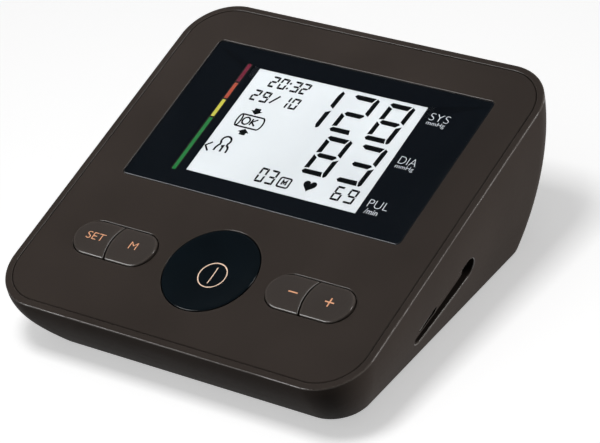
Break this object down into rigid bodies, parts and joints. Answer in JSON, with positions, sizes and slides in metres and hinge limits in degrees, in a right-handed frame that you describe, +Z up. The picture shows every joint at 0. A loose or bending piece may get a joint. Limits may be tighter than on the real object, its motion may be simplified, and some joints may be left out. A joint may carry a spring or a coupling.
{
  "type": "blood pressure monitor",
  "caption": "Low wedge-shaped desktop blood pressure monitor with a sloping face, a large display window, a dished round key and split oblong keys.",
  "frame": {"origin": "on the floor under the middle of the body", "axes": "+X across the face to the right, +Y from the front edge to the back, +Z up"},
  "size_m": [0.134, 0.125, 0.0532],
  "materials": {
    "housing": "fine matte dark brown",
    "window": "clear hard-coated plastic, glossy",
    "black_print": "black printed film",
    "lcd_glass": "pale lit display glass",
    "white_plastic": "white diffusing plastic",
    "elastomer": "striped conductive rubber",
    "gloss_key": "glossy blue-black",
    "key_plastic": "satin dark brown",
    "silicone": "pale grey silicone",
    "board": "green solder mask",
    "chip": "black moulded resin",
    "steel": "plated steel",
    "motor_metal": "drawn steel can",
    "pump_plastic": "dark moulded plastic",
    "air_tube": "milky silicone",
    "cell": "plain sleeve",
    "foot_rubber": "soft black rubber",
    "lead": "insulated wire"
  },
  "bodies": {
    "console": {"air_cross": "pump_plastic", "air_pump": "pump_plastic", "battery_cell_1": "cell", "battery_cell_2": "cell", "battery_cell_3": "cell", "battery_cell_4": "cell", "battery_leads": "lead", "board_chips": "chip", "board_screws": "steel", "bottom_cover": "housing", "buzzer": "chip", "capacitors": "steel", "connector_strips": "elastomer", "contact_plates": "steel", "contact_springs": "steel", "cuff_socket": "pump_plastic", "cuff_tube": "air_tube", "display_frame": "white_plastic", "display_window": "window", "exhaust_valve": "pump_plastic", "foot_back_left": "foot_rubber", "foot_back_right": "foot_rubber", "foot_front_left": "foot_rubber", "foot_front_right": "foot_rubber", "front_panel": "housing", "housing_screws": "steel", "keypad_sheet": "silicone", "lcd_backlight": "white_plastic", "lcd_glass": "lcd_glass", "main_board": "board", "memory_dome": "silicone", "minus_dome": "silicone", "plus_dome": "silicone", "power_socket": "steel", "pressure_sensor": "pump_plastic", "processor": "chip", "pump_leads": "lead", "pump_motor": "motor_metal", "pump_saddles": "silicone", "pump_tube": "air_tube", "sensor_tube": "air_tube", "set_dome": "silicone", "side_housing": "housing", "socket_board": "board", "socket_plate": "housing", "socket_screws": "steel", "start_dome": "silicone", "valve_tube": "air_tube", "window_backing": "black_print"},
    "start_button": {"start_key": "gloss_key"},
    "set_button": {"set_key": "key_plastic"},
    "memory_button": {"memory_key": "key_plastic"},
    "minus_button": {"minus_key": "key_plastic"},
    "plus_button": {"plus_key": "key_plastic"},
    "door": {"battery_door": "housing"}
  },
  "joints": [
    {"name": "start_press", "type": "slide", "parent": "console", "child": "start_button", "axis": [0, 0.2512, -0.9679], "range_m": [0, 0.0008], "stiffness_N_per_m": 900, "springref_m": -0.0006, "deforming": ["start_dome"]},
    {"name": "set_press", "type": "slide", "parent": "console", "child": "set_button", "axis": [0, 0.2512, -0.9679], "range_m": [0, 0.0008], "stiffness_N_per_m": 800, "springref_m": -0.0006, "deforming": ["set_dome"]},
    {"name": "memory_press", "type": "slide", "parent": "console", "child": "memory_button", "axis": [0, 0.2512, -0.9679], "range_m": [0, 0.0008], "stiffness_N_per_m": 800, "springref_m": -0.0006, "deforming": ["memory_dome"]},
    {"name": "minus_press", "type": "slide", "parent": "console", "child": "minus_button", "axis": [0, 0.2512, -0.9679], "range_m": [0, 0.0008], "stiffness_N_per_m": 800, "springref_m": -0.0006, "deforming": ["minus_dome"]},
    {"name": "plus_press", "type": "slide", "parent": "console", "child": "plus_button", "axis": [0, 0.2512, -0.9679], "range_m": [0, 0.0008], "stiffness_N_per_m": 800, "springref_m": -0.0006, "deforming": ["plus_dome"]},
    {"name": "door_hinge", "type": "hinge", "parent": "console", "child": "door", "pos_m": [0, -0.02675, 0.0008], "axis": [-1, 0, 0], "range_deg": [0, 75]}
  ]
}
